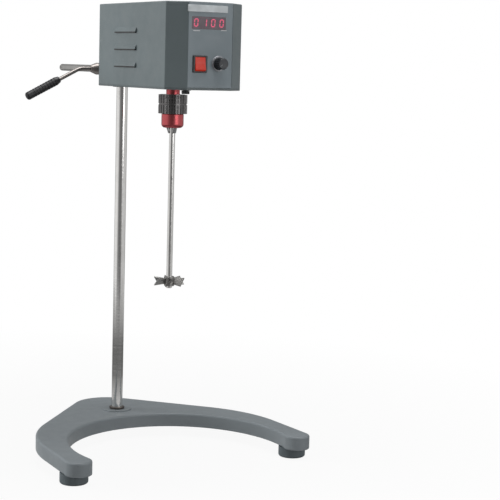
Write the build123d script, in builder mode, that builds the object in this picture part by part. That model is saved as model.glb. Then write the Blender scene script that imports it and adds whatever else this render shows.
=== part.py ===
from build123d import *
import os
from math import cos, pi, radians, sin, sqrt, tan

# Overhead laboratory stirrer on a horseshoe stand, in millimetres.
# Origin: on the bench, straight below the axis of the column.
# +Z is up, -Y is the front (the head and the open side of the base), +X is the right side.

# Clearances
running_gap = 0.08        # radial, a shaft or rod that turns or slides in its bore
joint_gap = 0.3           # between faces of pieces that move past each other
fit_gap = 0.05            # radial, pieces of one assembly that are pushed together
seat_gap = 0.2            # thin pieces let into an opening

# Base casting
plate_thickness = 19.5
plate_edge_radius = 3.0
base_nose_point = 107.5       # the two rear flanks would meet here, behind the column
base_nose_radius = 50.0
shoulder_half_width = 175.0
shoulder_back = 89.5          # shoulders lie this far in front of the column
shoulder_radius = 182.0
flank_toe_out = 0.0435        # outward slope of the arms' outer sides
arm_reach = 254.5             # front end of the arms
arm_end_radius = 17.5
throat_half_width = 149.0     # the U is half an ellipse
throat_depth = 160.5
throat_centre = 204.0
column_pad_radius = 21.0
column_pad_height = 1.2
nut_pocket_depth = 8.0

# Feet
foot_height = 14.0
foot_radius = 18.6
foot_edge_radius = 3.0
front_foot_spread = 328.5
front_foot_reach = 224.0
rear_foot_back = 45.0
foot_screw_radius = 2.5
foot_screw_head_radius = 5.0
foot_screw_head_height = 3.5
foot_screw_grip = 11.0        # screw length inside the casting
foot_sole_recess = 5.5

# Column
rod_radius = 8.0
rod_top = 608.0
rod_end_chamfer = 1.5
stud_radius = 6.0
ring_height = 3.0
ring_wall = 3.0
washer_radius = 14.0
washer_thickness = 2.5
nut_across_flats = 19.0
nut_height = 7.0
stud_overhang = 2.0

# Boss-head clamp
clamp_height = 528.0
clamp_half_length = 25.0
clamp_wall = 6.5
bar_radius = 5.0
bar_offset = 25.0             # bar's axis beside the column's axis
bar_wall = 4.5
bar_barrel_half_length = 13.0
turret_radius = 8.5
turret_reach = 36.5           # end of the screw turret from the column's axis
clamp_screw_radius = 4.0
bar_flat = 0.5

# Clamp lever
hub_large_radius = 8.3
hub_small_radius = 4.6
hub_length = 13.5
arm_radius = 2.75
lever_corner = 66.0           # where the arm's two runs would meet, from the column's axis
lever_drop = 27.4             # degrees
lever_bend_radius = 26.0
lever_end = 146.5             # tip of the grip, from the column's axis
grip_length = 54.0
grip_radius = 5.9
grip_neck_radius = 4.4
grip_ribs = 9
rib_depth = 0.7

# Support bar
bar_tail = 160.0
bar_end_chamfer = 1.0
bar_inset = 2.0               # solid metal of the block in front of the bar
flat_tail = 5.0               # round end behind the flat
flat_front = 37.0             # the flat starts this far in front of the column's axis
block_depth = 18.5
block_gap = 0.5               # between the block and the back cover
set_screw_inset = 6.0
set_screw_pitch = 7.0

# Motor head
head_half_width = 55.25
head_back = 41.0
head_depth = 220.0
bar_lift = 22.7               # bar's axis above the bottom of the head
head_height = 111.5
bevel_width = 23.0
bevel_depth = 18.2
cover_wall = 2.2
cover_edge_radius = 1.6
rim_height = 3.0
floor_step = 5.0
panel_thickness = 2.5
panel_ledge = 5.0
back_plate_thickness = 2.5
post_radius = 4.5
post_inset = 5.5
front_post_inset = 12.0       # front posts behind the bevels
back_screw_inset = 11.0       # upper back screws below the head's top
floor_screw_grip = 9.0        # screw length inside a post
cover_screw_radius = 1.5
cover_screw_head_radius = 3.0
cover_screw_head_height = 2.0
cover_screw_length = 12.0

# Louvres in both sides of the cover
louvre_length = 64.0
louvre_middle = 127.0         # from the column's axis
louvre_up = 27.7              # lowest louvre above the bottom of the head
louvre_pitch = 22.7
louvre_count = 3
louvre_rise = 6.0
louvre_reach = 2.4
louvre_skin = 0.9

# Front panel; names that end in up are levels above the bottom of the head
plate_centre = -4.8
plate_width = 57.5
plate_height = 8.8
plate_up = 103.1
name_plate_thickness = 0.8
window_centre = -2.8
window_width = 49.0
window_height = 16.0
window_up = 85.1
window_thickness = 2.0
module_depth = 8.0
module_board_margin = 7.0     # board above and below the window
switch_centre = -14.8
switch_up = 33.2
switch_width = 20.5
switch_height = 22.0
bezel_thickness = 2.0
switch_body_depth = 17.0
switch_wall = 1.4
trunnion_radius = 1.2
trunnion_length = 0.8
rocker_radius = 9.0
rocker_width = 14.4
rocker_pivot_depth = 1.4      # pivot behind the panel's face
rocker_corner_angle = 62.0
rocker_heel_angle = 100.0
rocker_waist = 3.9
rocker_tilt = 9.0             # degrees each way
knob_centre = 12.5
knob_up = 34.2
dial_radius = 10.0
dial_thickness = 1.0
knob_radius = 7.2
knob_length = 12.5
knob_taper = 0.8          # skirt's width beyond the grip
knob_skirt_height = 1.4
knob_flutes = 16
knob_crown = 3.0              # solid end of the knob in front of the shaft
knob_lift = 0.6               # knob above its dial
pot_radius = 8.0
pot_depth = 9.0
pot_bush_radius = 3.5
pot_shaft_radius = 3.0
pot_nut_radius = 5.0
pot_nut_height = 2.0

# Spindle, gears and motor
spindle_reach = 159.5
spindle_radius = 6.0
bearing_radius = 14.0
bearing_width = 8.0
bearing_race = 2.6
bearing_wall = 3.5
gear_module = 1.0
spindle_teeth = 60
pinion_teeth = 15
gear_width = 9.0
gear_up = 13.7
gear_hub_radius = 11.0
backlash = 0.16
gear_plate_up = 31.7
gear_plate_thickness = 5.0
gear_plate_half_width = 44.0
pillar_radius = 5.0
pillar_spread = 36.0
pillar_head = 1.5             # peened end above the plate
pillar_rows = (-187.0, -96.0)
pillar_margin = 9.0           # plate beyond the pillars
motor_radius = 27.0
motor_length = 58.0
motor_wall = 2.0
motor_cap_thickness = 3.5
motor_shaft_radius = 3.0
magnet_thickness = 5.0
rotor_air_gap = 0.6
core_foot = 10.0              # iron core above the bottom of the can
core_head = 13.0              # iron core below the top of the can
rotor_slots = 12
encoder_radius = 12.0
encoder_slots = 12
encoder_thickness = 1.0

# Electrical parts
board_thickness = 1.6
board_half_width = 44.0
board_height = 56.0
board_up = 42.7
board_standoff = 22.0
standoff_radius = 3.0
gland_centre = 25.0
gland_up = 21.7
gland_flats = 20.0
gland_hex_height = 5.0
gland_dome_height = 9.0
gland_thread_radius = 7.5
gland_thread_length = 10.0
gland_seal_wall = 2.0
lead_radius = 3.5
fuse_x = -4.0
fuse_y = -203.0
fuse_cap_radius = 5.3
fuse_cap_height = 4.5
fuse_body_radius = 6.0
fuse_body_height = 24.0
fuse_flange_radius = 7.5
fuse_flange_height = 1.5
fuse_stem_radius = 2.8
fuse_stem_length = 14.0

# Chuck
chuck_hub_radius = 9.2
chuck_drop = 7.9              # chuck below the head
sleeve_radius = 19.3
sleeve_height = 25.6
sleeve_wall = 2.7
sleeve_flutes = 30
sleeve_groove = 2.0
collar_radius = 14.9
collar_height = 18.7
collar_edge_radius = 5.0
collar_wall = 1.2
collar_cone_width = 2.6       # inner corner at the collar's floor, cut to a cone
collar_cone_height = 3.4
jaw_radius = 3.0
jaw_angle = 12.0
jaw_length = 30.0
jaw_overhang = 7.2            # jaws stand out of the collar
jaw_travel = 4.0
jaw_tip_offset = 4.6          # radius of a jaw's axis at its tip
jaw_nose_radius = 5.6
jaw_phase = 35.0
collar_floor = 2.2
collar_mouth_radius = 9.2
spindle_socket = 13.0
shaft_stop = 3.0              # between the stirring shaft and the spindle
rib_foot = 1.8                # rib above the sleeve's lower end
rib_height = 5.0

# Stirring tool
shaft_radius = 4.0
shaft_length = 245.6
impeller_up = 9.4             # impeller's middle above the shaft's end
impeller_radius = 20.2
impeller_hub_radius = 7.0
impeller_hub_height = 13.0
blade_count = 6
blade_thickness = 1.5
blade_root_chord = 8.0
blade_tip_chord = 15.0
blade_root_pitch = 58.0
blade_tip_pitch = 42.0
blade_phase = 5.0
grub_screw_radius = 2.0

# Worked-out levels and places
base_top = foot_height + plate_thickness
pad_top = base_top + column_pad_height
head_front = -(head_back + head_depth)
head_bottom = clamp_height - bar_lift
head_top = head_bottom + head_height
plate_level = head_bottom + plate_up
window_level = head_bottom + window_up
switch_level = head_bottom + switch_up
knob_level = head_bottom + knob_up
louvre_first = head_bottom + louvre_up
gear_level = head_bottom + gear_up
gear_plate_level = head_bottom + gear_plate_up
board_level = head_bottom + board_up
gland_level = head_bottom + gland_up
chuck_top = head_bottom - chuck_drop
floor_top = head_bottom + rim_height + floor_step
panel_face = head_front
spindle_y = -spindle_reach
centre_distance = gear_module * (spindle_teeth + pinion_teeth) / 2
motor_y = spindle_y + centre_distance
collar_bottom = chuck_top - sleeve_height - joint_gap - collar_height
jaw_tip = collar_bottom - jaw_overhang
socket_bottom = chuck_top - spindle_socket
shaft_top = socket_bottom - shaft_stop
shaft_end = shaft_top - shaft_length
impeller_level = shaft_end + impeller_up
made = []


def keep(part, name):
    """Labels a finished piece and remembers it for writing."""
    part.label = name
    made.append(part)


def foot_places():
    """Centres of the three feet in plan."""
    half = front_foot_spread / 2
    return [(-half, -front_foot_reach), (half, -front_foot_reach), (0, rear_foot_back)]


def head_outline(inset, back, front_cut=0.0):
    """Corner points of the head's plan, moved inwards by a wall thickness."""
    slant = sqrt(bevel_width**2 + bevel_depth**2)
    turn = (slant - bevel_depth) / bevel_width
    rise = (slant - bevel_width) / bevel_depth
    side = head_half_width - inset
    front = head_front + inset + front_cut
    side_corner = head_front + bevel_depth + inset * rise
    front_corner = head_half_width - bevel_width - inset * turn
    front_corner += front_cut * bevel_width / bevel_depth
    return [
        (-side, back),
        (-side, side_corner),
        (-front_corner, front),
        (front_corner, front),
        (side, side_corner),
        (side, back),
    ]


def gear_points(teeth, turned=0.0):
    """Outline of a spur gear with straight tooth flanks, thinned by the backlash."""
    pitch_r = gear_module * teeth / 2
    tip_r = pitch_r + gear_module * 0.9
    root_r = pitch_r - gear_module * 1.2
    half_pitch = (pi * gear_module / 4 - backlash / 2) / pitch_r
    lean = tan(radians(20))
    half_tip = half_pitch - 0.9 * gear_module * lean / pitch_r
    half_root = half_pitch + 1.0 * gear_module * lean / pitch_r
    points = []
    for tooth in range(teeth):
        middle = 2 * pi * tooth / teeth + turned
        for radius, swing in (
            (root_r, -half_root),
            (tip_r, -half_tip),
            (tip_r, half_tip),
            (root_r, half_root),
        ):
            angle = middle + swing
            points.append((radius * cos(angle), radius * sin(angle)))
    return points


def jaw_plane(number):
    """Plane across a jaw's axis at its tip; the axis leans away from the spindle."""
    way = radians(jaw_phase + 120 * number)
    lean_angle = radians(jaw_angle)
    return Plane(
        origin=(cos(way) * jaw_tip_offset, spindle_y + sin(way) * jaw_tip_offset, jaw_tip),
        x_dir=(-sin(way), cos(way), 0),
        z_dir=(sin(lean_angle) * cos(way), sin(lean_angle) * sin(way), cos(lean_angle)),
    )


grub_way = radians(blade_phase + 180 / blade_count)
grub_plane = Plane(
    origin=(0, spindle_y, impeller_level),
    x_dir=(-sin(grub_way), cos(grub_way), 0),
    z_dir=(cos(grub_way), sin(grub_way), 0),
)


# Base: one casting shaped like a horseshoe, open to the front
def flank_x(y):
    """Outer side of an arm at a place in front of the shoulder."""
    return shoulder_half_width + flank_toe_out * (-shoulder_back - y)


with BuildPart() as base_casting:
    with BuildSketch(Plane.XY.offset(foot_height)):
        with BuildLine():
            run = FilletPolyline(
                (-flank_x(-arm_reach), -arm_reach),
                (-shoulder_half_width, -shoulder_back),
                (0, base_nose_point),
                (shoulder_half_width, -shoulder_back),
                (flank_x(-arm_reach), -arm_reach),
                radius=[shoulder_radius, base_nose_radius, shoulder_radius],
            )
            Line(run @ 1, run @ 0)
        make_face()
        with Locations((0, -throat_centre)):
            Ellipse(throat_half_width, throat_depth, mode=Mode.SUBTRACT)
    extrude(amount=plate_thickness)
    corners = base_casting.edges().filter_by(Axis.Z).group_by(Axis.Y)[0]
    fillet(corners, arm_end_radius)
    fillet(base_casting.faces().sort_by(Axis.Z)[-1].edges(), plate_edge_radius)
    fillet(base_casting.faces().sort_by(Axis.Z)[0].edges(), plate_edge_radius / 2)
    with BuildSketch(Plane.XY.offset(base_top - 1)):
        Circle(column_pad_radius)
    extrude(amount=1 + column_pad_height, taper=4)
    with BuildSketch(Plane.XY.offset(foot_height)):
        Circle(washer_radius + 1.5)
    extrude(amount=nut_pocket_depth, mode=Mode.SUBTRACT)
    with BuildSketch(Plane.XY.offset(foot_height)):
        Circle(stud_radius + running_gap)
    extrude(amount=plate_thickness + column_pad_height, mode=Mode.SUBTRACT)
    with BuildSketch(Plane.XY.offset(foot_height)):
        with Locations(*foot_places()):
            Circle(foot_screw_radius + fit_gap)
    extrude(amount=foot_screw_grip + 1, mode=Mode.SUBTRACT)
keep(base_casting.part, "base_casting")

with BuildPart() as feet:
    with BuildSketch(Plane.XY):
        with Locations(*foot_places()):
            Circle(foot_radius)
    extrude(amount=foot_height)
    soles = feet.faces().group_by(Axis.Z)[0].edges()
    fillet(soles, foot_edge_radius)
    with BuildSketch(Plane.XY):
        with Locations(*foot_places()):
            Circle(foot_screw_head_radius + 1)
    extrude(amount=foot_sole_recess, mode=Mode.SUBTRACT)
    with BuildSketch(Plane.XY):
        with Locations(*foot_places()):
            Circle(foot_screw_radius + fit_gap)
    extrude(amount=foot_height, mode=Mode.SUBTRACT)
keep(feet.part, "feet")

with BuildPart() as foot_screws:
    with BuildSketch(Plane.XY.offset(foot_sole_recess)):
        with Locations(*foot_places()):
            Circle(foot_screw_head_radius)
    extrude(amount=-foot_screw_head_height)
    with BuildSketch(Plane.XY.offset(foot_sole_recess)):
        with Locations(*foot_places()):
            Circle(foot_screw_radius)
    extrude(amount=foot_height - foot_sole_recess + foot_screw_grip)
    with BuildSketch(Plane.XY.offset(foot_sole_recess - foot_screw_head_height)):
        with Locations(*foot_places()):
            RegularPolygon(foot_screw_head_radius / 2, 6)
    extrude(amount=foot_screw_head_height / 2, mode=Mode.SUBTRACT)
keep(foot_screws.part, "foot_screws")

# Column: a polished rod with a stud that goes through the casting
rod_foot = pad_top + joint_gap
washer_top = foot_height + nut_pocket_depth - joint_gap
nut_top = washer_top - washer_thickness
stud_bottom = nut_top - nut_height - stud_overhang

with BuildPart() as column_rod:
    with BuildSketch(Plane.XY.offset(rod_foot)):
        Circle(rod_radius)
    extrude(amount=rod_top - rod_foot)
    chamfer(column_rod.edges().group_by(Axis.Z)[-1], rod_end_chamfer)
    with BuildSketch(Plane.XY.offset(stud_bottom)):
        Circle(stud_radius)
    extrude(amount=rod_foot - stud_bottom)
keep(column_rod.part, "column_rod")

with BuildPart() as column_ring:
    with BuildSketch(Plane.XY.offset(rod_foot)):
        Circle(rod_radius + ring_wall)
        Circle(rod_radius + fit_gap, mode=Mode.SUBTRACT)
    extrude(amount=ring_height)
    top_edges = column_ring.edges().group_by(Axis.Z)[-1].sort_by(SortBy.LENGTH)
    fillet(top_edges[-1], ring_wall / 3)
keep(column_ring.part, "column_ring")

with BuildPart() as column_washer:
    with BuildSketch(Plane.XY.offset(nut_top)):
        Circle(washer_radius)
        Circle(stud_radius + fit_gap, mode=Mode.SUBTRACT)
    extrude(amount=washer_thickness)
keep(column_washer.part, "column_washer")

with BuildPart() as column_nut:
    with BuildSketch(Plane.XY.offset(nut_top - nut_height)):
        RegularPolygon(nut_across_flats / 2, 6, major_radius=False)
        Circle(stud_radius + fit_gap, mode=Mode.SUBTRACT)
    extrude(amount=nut_height)
keep(column_nut.part, "column_nut")

# Boss-head: a vertical barrel for the column, a crossing barrel for the bar, a screw turret
bar_axis = Plane(origin=(-bar_offset, 0, clamp_height), x_dir=(1, 0, 0), z_dir=(0, -1, 0))
screw_axis = Plane(origin=(0, 0, clamp_height), x_dir=(0, 1, 0), z_dir=(-1, 0, 0))
barrel_radius = rod_radius + clamp_wall
bar_barrel_radius = bar_radius + bar_wall

with BuildPart() as boss_head:
    with BuildSketch(Plane.XY.offset(clamp_height)):
        Circle(barrel_radius)
    extrude(amount=clamp_half_length, both=True)
    chamfer(boss_head.edges().group_by(Axis.Z)[-1], 1.5)
    chamfer(boss_head.edges().group_by(Axis.Z)[0], 1.5)
    with BuildSketch(bar_axis):
        Circle(bar_barrel_radius)
    extrude(amount=bar_barrel_half_length, both=True)
    with BuildSketch(screw_axis):
        SlotCenterToCenter(2 * turret_radius, 2 * turret_radius, rotation=90)
    extrude(amount=bar_offset)
    with BuildSketch(screw_axis.offset(bar_offset)):
        Circle(turret_radius)
    extrude(amount=turret_reach - bar_offset)
    chamfer(boss_head.edges().group_by(Axis.X)[0], 1.2)
    with BuildSketch(Plane.XY.offset(clamp_height)):
        Circle(rod_radius + running_gap)
    extrude(amount=clamp_half_length, both=True, mode=Mode.SUBTRACT)
    with BuildSketch(bar_axis):
        Circle(bar_radius + running_gap)
    extrude(amount=bar_barrel_half_length, both=True, mode=Mode.SUBTRACT)
    with BuildSketch(screw_axis):
        Circle(clamp_screw_radius + running_gap)
    extrude(amount=turret_reach, mode=Mode.SUBTRACT)
keep(boss_head.part, "boss_head")

pad_start = rod_radius + joint_gap
pad_end = bar_offset - bar_radius - joint_gap

with BuildPart() as clamp_pad:
    with BuildSketch(screw_axis.offset(pad_start)):
        Circle(clamp_screw_radius + running_gap - fit_gap)
    extrude(amount=pad_end - pad_start)
    chamfer(clamp_pad.edges(), 0.4)
keep(clamp_pad.part, "clamp_pad")

# Clamp lever: its screw presses the bar, and the bar presses the column through the pad
screw_tip = bar_offset + bar_radius - bar_flat + joint_gap
hub_start = turret_reach + joint_gap
hub_end = hub_start + hub_length
hub_bore_depth = hub_length / 2

with BuildPart() as clamp_screw:
    with BuildSketch(screw_axis.offset(screw_tip)):
        Circle(clamp_screw_radius)
    extrude(amount=hub_start + hub_bore_depth - screw_tip)
    chamfer(clamp_screw.edges().group_by(Axis.X)[-1], 0.6)
keep(clamp_screw.part, "clamp_screw")

drop = radians(lever_drop)
lever_side = Plane(origin=(0, 0, clamp_height), x_dir=(-1, 0, 0), z_dir=(0, 1, 0))
grip_tip_run = (lever_end - lever_corner) / cos(drop) - grip_radius * tan(drop) / 2
grip_start_run = grip_tip_run - grip_length
arm_end_run = grip_tip_run - grip_radius
grip_axis = Plane(
    origin=(-lever_corner, 0, clamp_height),
    x_dir=(0, 1, 0),
    z_dir=(-cos(drop), 0, -sin(drop)),
)

with BuildPart() as lever_arm:
    with BuildSketch(lever_side):
        with BuildLine():
            Polyline(
                (hub_start, 0),
                (hub_start, hub_large_radius),
                (hub_start + hub_length * 0.3, hub_large_radius),
                (hub_end, hub_small_radius),
                (hub_end, 0),
                close=True,
            )
        make_face()
    revolve(axis=Axis((0, 0, clamp_height), (-1, 0, 0)))
    rounds = lever_arm.edges().filter_by(GeomType.CIRCLE).group_by(Axis.X)
    fillet(rounds[0], 1.2)
    fillet(rounds[-1], 1.0)
    with BuildSketch(screw_axis.offset(hub_start)):
        Circle(clamp_screw_radius + fit_gap)
    extrude(amount=hub_bore_depth + fit_gap, mode=Mode.SUBTRACT)
    with BuildLine() as arm_path:
        FilletPolyline(
            (-(hub_end - 2), 0, clamp_height),
            (-lever_corner, 0, clamp_height),
            (
                -(lever_corner + arm_end_run * cos(drop)),
                0,
                clamp_height - arm_end_run * sin(drop),
            ),
            radius=lever_bend_radius,
        )
    with BuildSketch(screw_axis.offset(hub_end - 2)):
        Circle(arm_radius)
    sweep(path=arm_path.line)
keep(lever_arm.part, "lever_arm")

rib_pitch = (grip_length - 2.6 * grip_radius) / grip_ribs

with BuildPart() as lever_grip:
    with BuildSketch(grip_axis.offset(grip_start_run)):
        Circle(grip_neck_radius)
    with BuildSketch(grip_axis.offset(grip_start_run + grip_radius)):
        Circle(grip_radius)
    with BuildSketch(grip_axis.offset(grip_tip_run)):
        Circle(grip_radius * 0.95)
    loft(ruled=True)
    fillet(lever_grip.edges().group_by(Axis.X)[0], grip_radius * 0.5)
    for rib in range(grip_ribs):
        place = grip_start_run + 1.25 * grip_radius + rib * rib_pitch
        with BuildSketch(grip_axis.offset(place)):
            Circle(grip_radius + 1)
            Circle(grip_radius - rib_depth, mode=Mode.SUBTRACT)
        extrude(amount=rib_pitch * 0.4, mode=Mode.SUBTRACT)
    with BuildSketch(grip_axis.offset(grip_start_run)):
        Circle(arm_radius + fit_gap)
    extrude(amount=arm_end_run - grip_start_run + fit_gap, mode=Mode.SUBTRACT)
keep(lever_grip.part, "lever_grip")

# Support bar: fixed in a block on the head's floor, its flat faces the clamp screw
block_back = -(head_back + back_plate_thickness + block_gap)
block_front = block_back - block_depth
block_half_width = 2.8 * bar_radius
block_top = clamp_height + 2.6 * bar_radius
bar_front = block_front + bar_inset
flat_end = bar_tail - flat_tail
set_screw_places = [
    (-bar_offset, block_front + set_screw_inset + set_screw_pitch * step) for step in range(2)
]

with BuildPart() as support_bar:
    with BuildSketch(Plane(origin=(-bar_offset, bar_front, clamp_height), x_dir=(1, 0, 0), z_dir=(0, 1, 0))):
        Circle(bar_radius)
    extrude(amount=bar_tail - bar_front)
    chamfer(support_bar.edges().group_by(Axis.Y)[-1], bar_end_chamfer)
    with BuildSketch(Plane.XZ.offset(-flat_end)):
        with Locations((-bar_offset - bar_radius, clamp_height)):
            Rectangle(2 * bar_flat, 2 * bar_radius)
    extrude(amount=flat_end + flat_front, mode=Mode.SUBTRACT)
keep(support_bar.part, "support_bar")

with BuildPart() as bar_block:
    with BuildSketch(Plane.XY.offset(floor_top)):
        with Locations((-bar_offset, (block_front + block_back) / 2)):
            RectangleRounded(2 * block_half_width, block_back - block_front, 2)
    extrude(amount=block_top - floor_top)
    with BuildSketch(Plane(origin=(-bar_offset, block_back, clamp_height), x_dir=(1, 0, 0), z_dir=(0, -1, 0))):
        Circle(bar_radius + fit_gap)
    extrude(amount=block_back - bar_front + fit_gap, mode=Mode.SUBTRACT)
    with BuildSketch(Plane.XY.offset(block_top)):
        with Locations(*set_screw_places):
            Circle(grub_screw_radius + fit_gap)
    extrude(amount=-(block_top - clamp_height), mode=Mode.SUBTRACT)
keep(bar_block.part, "bar_block")

with BuildPart() as bar_set_screws:
    with BuildSketch(Plane.XY.offset(clamp_height + bar_radius + fit_gap)):
        with Locations(*set_screw_places):
            Circle(grub_screw_radius)
    extrude(amount=block_top - clamp_height - bar_radius)
keep(bar_set_screws.part, "bar_set_screws")

# Head cover: top, sides and front bevels in one shell, open below and behind
cover_bottom = head_bottom + rim_height
ledge_face = head_front + panel_thickness + fit_gap
post_x = head_half_width - post_inset
post_places = [
    (side * post_x, y)
    for side in (-1, 1)
    for y in (
        -(head_back + back_plate_thickness + post_radius + joint_gap),
        head_front + bevel_depth + front_post_inset,
    )
]
back_screw_places = [
    (side * post_x, level) for side in (-1, 1) for level in (clamp_height, head_top - back_screw_inset)
]
floor_screw_top = floor_top + floor_screw_grip
louvre_levels = [louvre_first + louvre_pitch * step for step in range(louvre_count)]


def louvre_profile(side, skin, level):
    """Points of a pressed louvre's cross-section: the hood, or its hollow where skin isn't 0."""
    wall = head_half_width
    inside = wall - cover_wall - (1 if skin else 0)
    high = level + louvre_rise - skin
    points = [
        (inside, level),
        (wall + louvre_reach - skin, level),
        (wall + louvre_reach * 0.86 - skin, level + louvre_rise * 0.35),
        (wall - skin, high),
        (inside, high),
    ]
    return [(side * across, up) for across, up in points]


with BuildPart() as head_cover:
    with BuildSketch(Plane.XY.offset(cover_bottom)):
        with BuildLine():
            Polyline(*head_outline(0, -head_back), close=True)
        make_face()
    extrude(amount=head_top - cover_bottom)
    upright = head_cover.edges().filter_by(Axis.Z).group_by(Axis.Y)[:-1]
    fillet(upright[0] + upright[1], cover_edge_radius)
    fillet(head_cover.faces().sort_by(Axis.Z)[-1].edges().filter_by(Axis.Y), cover_edge_radius)
    with BuildSketch(Plane.XY.offset(cover_bottom)):
        with BuildLine():
            Polyline(*head_outline(cover_wall, -head_back), close=True)
        make_face()
    extrude(amount=head_top - cover_wall - cover_bottom, mode=Mode.SUBTRACT)
    with BuildSketch(Plane.XZ.offset(-ledge_face)):
        with Locations((0, (head_bottom + head_top) / 2)):
            Rectangle(2 * (head_half_width - bevel_width) - 0.2, head_height)
    extrude(amount=2 * panel_thickness, mode=Mode.SUBTRACT)
    panel_frame_width = 2 * (head_half_width - bevel_width)
    with BuildSketch(Plane.XZ.offset(-ledge_face)):
        with Locations((0, (cover_bottom + head_top) / 2)):
            Rectangle(panel_frame_width, head_top - cover_bottom)
            Rectangle(
                panel_frame_width - 2 * panel_ledge,
                head_top - cover_bottom - 2 * panel_ledge,
                mode=Mode.SUBTRACT,
            )
    extrude(amount=-cover_wall)
    with BuildSketch(Plane.XY.offset(floor_top + fit_gap)):
        with Locations(*post_places):
            Circle(post_radius)
    extrude(amount=head_top - cover_wall / 2 - floor_top - fit_gap)
    for side in (-1, 1):
        for level in louvre_levels:
            with BuildSketch(Plane.XZ.offset(louvre_middle)):
                with BuildLine():
                    Polyline(*louvre_profile(side, 0, level), close=True)
                make_face()
            extrude(amount=louvre_length / 2, both=True)
            with BuildSketch(Plane.XZ.offset(louvre_middle)):
                with BuildLine():
                    Polyline(*louvre_profile(side, louvre_skin, level), close=True)
                make_face()
            extrude(amount=louvre_length / 2 - louvre_skin, both=True, mode=Mode.SUBTRACT)
    with BuildSketch(Plane.XY.offset(floor_top + fit_gap)):
        with Locations(*post_places):
            Circle(cover_screw_radius + fit_gap)
    extrude(amount=floor_screw_top - floor_top, mode=Mode.SUBTRACT)
    with BuildSketch(Plane.XZ.offset(head_back)):
        with Locations(*back_screw_places):
            Circle(cover_screw_radius + fit_gap)
    extrude(amount=cover_screw_length, mode=Mode.SUBTRACT)
keep(head_cover.part, "head_cover")

# Floor of the head: rim under the cover, raised step inside it, seat of the lower bearing
spindle_plan = (0, spindle_y)
motor_plan = (0, motor_y)
bearing_low = head_bottom + rim_height + 0.2
bearing_seat = bearing_radius + fit_gap
bearing_housing = bearing_radius + bearing_wall
lip_hole = spindle_radius + bearing_race + 0.6
step_back = -(head_back + back_plate_thickness + seat_gap)

with BuildPart() as floor_plate:
    with BuildSketch(Plane.XY.offset(head_bottom)):
        with BuildLine():
            Polyline(*head_outline(0, -head_back), close=True)
        make_face()
    extrude(amount=rim_height)
    fillet(floor_plate.edges().filter_by(Axis.Z).group_by(Axis.Y)[0], cover_edge_radius)
    fillet(floor_plate.edges().filter_by(Axis.Z).group_by(Axis.Y)[2], cover_edge_radius)
    chamfer(floor_plate.faces().sort_by(Axis.Z)[0].edges(), 0.6)
    with BuildSketch(Plane.XY.offset(head_bottom + rim_height)):
        with BuildLine():
            Polyline(*head_outline(cover_wall + seat_gap, step_back, panel_thickness), close=True)
        make_face()
    extrude(amount=floor_step)
    with BuildSketch(Plane.XY.offset(head_bottom + rim_height)):
        with Locations(spindle_plan):
            Circle(bearing_housing)
    extrude(amount=bearing_low + bearing_width - head_bottom - rim_height)
    with BuildSketch(Plane.XY.offset(bearing_low)):
        with Locations(spindle_plan):
            Circle(bearing_seat)
    extrude(amount=bearing_width, mode=Mode.SUBTRACT)
    with BuildSketch(Plane.XY.offset(head_bottom)):
        with Locations(spindle_plan):
            Circle(lip_hole)
        with Locations((fuse_x, fuse_y)):
            Circle(fuse_body_radius + fit_gap)
        with Locations(*post_places):
            Circle(cover_screw_radius + fit_gap)
    extrude(amount=rim_height + floor_step, mode=Mode.SUBTRACT)
    with BuildSketch(Plane.XY.offset(head_bottom)):
        with Locations(*post_places):
            Circle(cover_screw_head_radius + fit_gap)
    extrude(amount=cover_screw_head_height + seat_gap, mode=Mode.SUBTRACT)
keep(floor_plate.part, "floor_plate")

floor_head_top = head_bottom + cover_screw_head_height + seat_gap

with BuildPart() as floor_screws:
    with BuildSketch(Plane.XY.offset(floor_head_top)):
        with Locations(*post_places):
            Circle(cover_screw_head_radius)
    extrude(amount=-cover_screw_head_height)
    with BuildSketch(Plane.XY.offset(floor_head_top)):
        with Locations(*post_places):
            Circle(cover_screw_radius)
    extrude(amount=floor_screw_top - floor_head_top - fit_gap)
    with BuildSketch(Plane.XY.offset(floor_head_top - cover_screw_head_height)):
        with Locations(*post_places):
            Rectangle(0.7, 3 * cover_screw_radius)
            Rectangle(3 * cover_screw_radius, 0.7)
    extrude(amount=cover_screw_head_height / 2, mode=Mode.SUBTRACT)
keep(floor_screws.part, "floor_screws")

# Back cover, let into the open back of the shell
back_plane = Plane.XZ.offset(head_back)
gland_spot = (gland_centre, gland_level)
back_half_width = head_half_width - cover_wall - seat_gap
back_low = cover_bottom + 0.1
back_high = head_top - cover_wall - seat_gap
stand_spots = [
    (side * (board_half_width - 4), board_level + rise)
    for side in (-1, 1)
    for rise in (4, board_height - 4)
]

with BuildPart() as back_cover:
    with BuildSketch(back_plane):
        with Locations((0, (back_low + back_high) / 2)):
            Rectangle(2 * back_half_width, back_high - back_low)
        with Locations((-bar_offset, clamp_height)):
            Circle(bar_radius + 2 * seat_gap, mode=Mode.SUBTRACT)
        with Locations(gland_spot):
            Circle(gland_thread_radius + fit_gap, mode=Mode.SUBTRACT)
        with Locations(*back_screw_places):
            Circle(cover_screw_radius + fit_gap, mode=Mode.SUBTRACT)
    extrude(amount=back_plate_thickness)
keep(back_cover.part, "back_cover")

with BuildPart() as back_screws:
    with BuildSketch(back_plane):
        with Locations(*back_screw_places):
            Circle(cover_screw_head_radius)
    extrude(amount=-cover_screw_head_height)
    fillet(back_screws.edges().group_by(Axis.Y)[-1], cover_screw_head_height / 2)
    with BuildSketch(back_plane):
        with Locations(*back_screw_places):
            Circle(cover_screw_radius)
    extrude(amount=cover_screw_length - 1)
    with BuildSketch(back_plane.offset(-cover_screw_head_height)):
        with Locations(*back_screw_places):
            Rectangle(0.7, 3 * cover_screw_radius)
            Rectangle(3 * cover_screw_radius, 0.7)
    extrude(amount=cover_screw_head_height / 2, mode=Mode.SUBTRACT)
keep(back_screws.part, "back_screws")

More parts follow.
